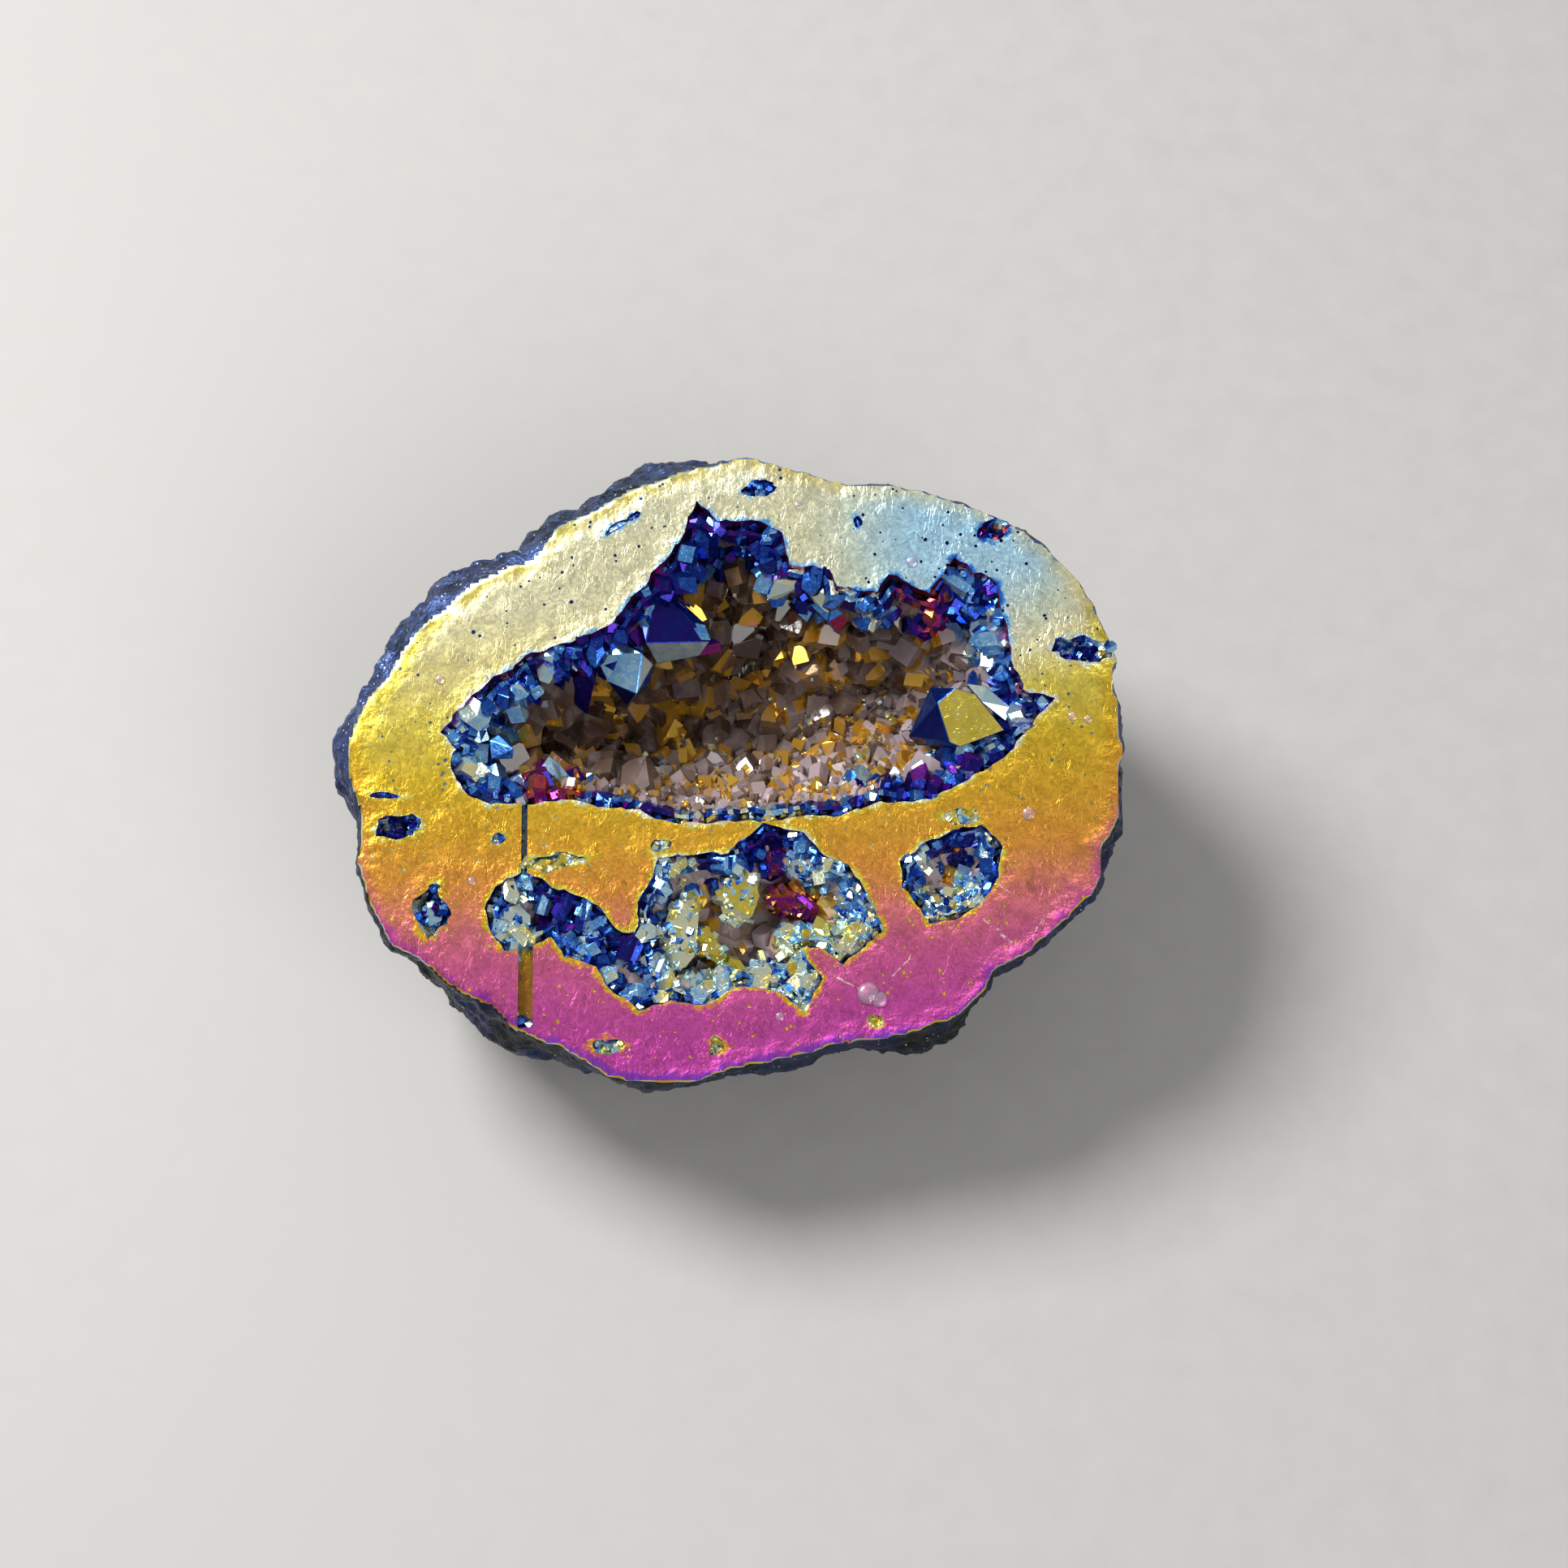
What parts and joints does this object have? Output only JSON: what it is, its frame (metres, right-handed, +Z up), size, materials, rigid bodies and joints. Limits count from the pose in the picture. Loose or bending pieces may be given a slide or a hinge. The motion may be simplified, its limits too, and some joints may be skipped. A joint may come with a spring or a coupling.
{
  "type": "quartz geode half",
  "caption": "Half of a small quartz geode with a metallic coating, its flat cut face up, with a crystal-lined hollow and smaller vugs.",
  "frame": {"origin": "on the surface it rests on, under the middle of its outline", "axes": "+Z up, +X along the length of the cut face, -Y the side that the cut face leans towards"},
  "size_m": [0.052, 0.0419, 0.025],
  "materials": {
    "stone": "sawn face with a thin rainbow metal-vapour coating, rough rind",
    "cavity_quartz": "smoky quartz points, metal-vapour coated near the mouth",
    "vug_quartz": "quartz points with a thin cobalt metal-vapour coating"
  },
  "bodies": {
    "root": {"geode_shell": "stone", "cavity_crystals": "cavity_quartz", "vug_chain_crystals": "vug_quartz", "round_vug_crystals": "vug_quartz"}
  },
  "joints": []
}
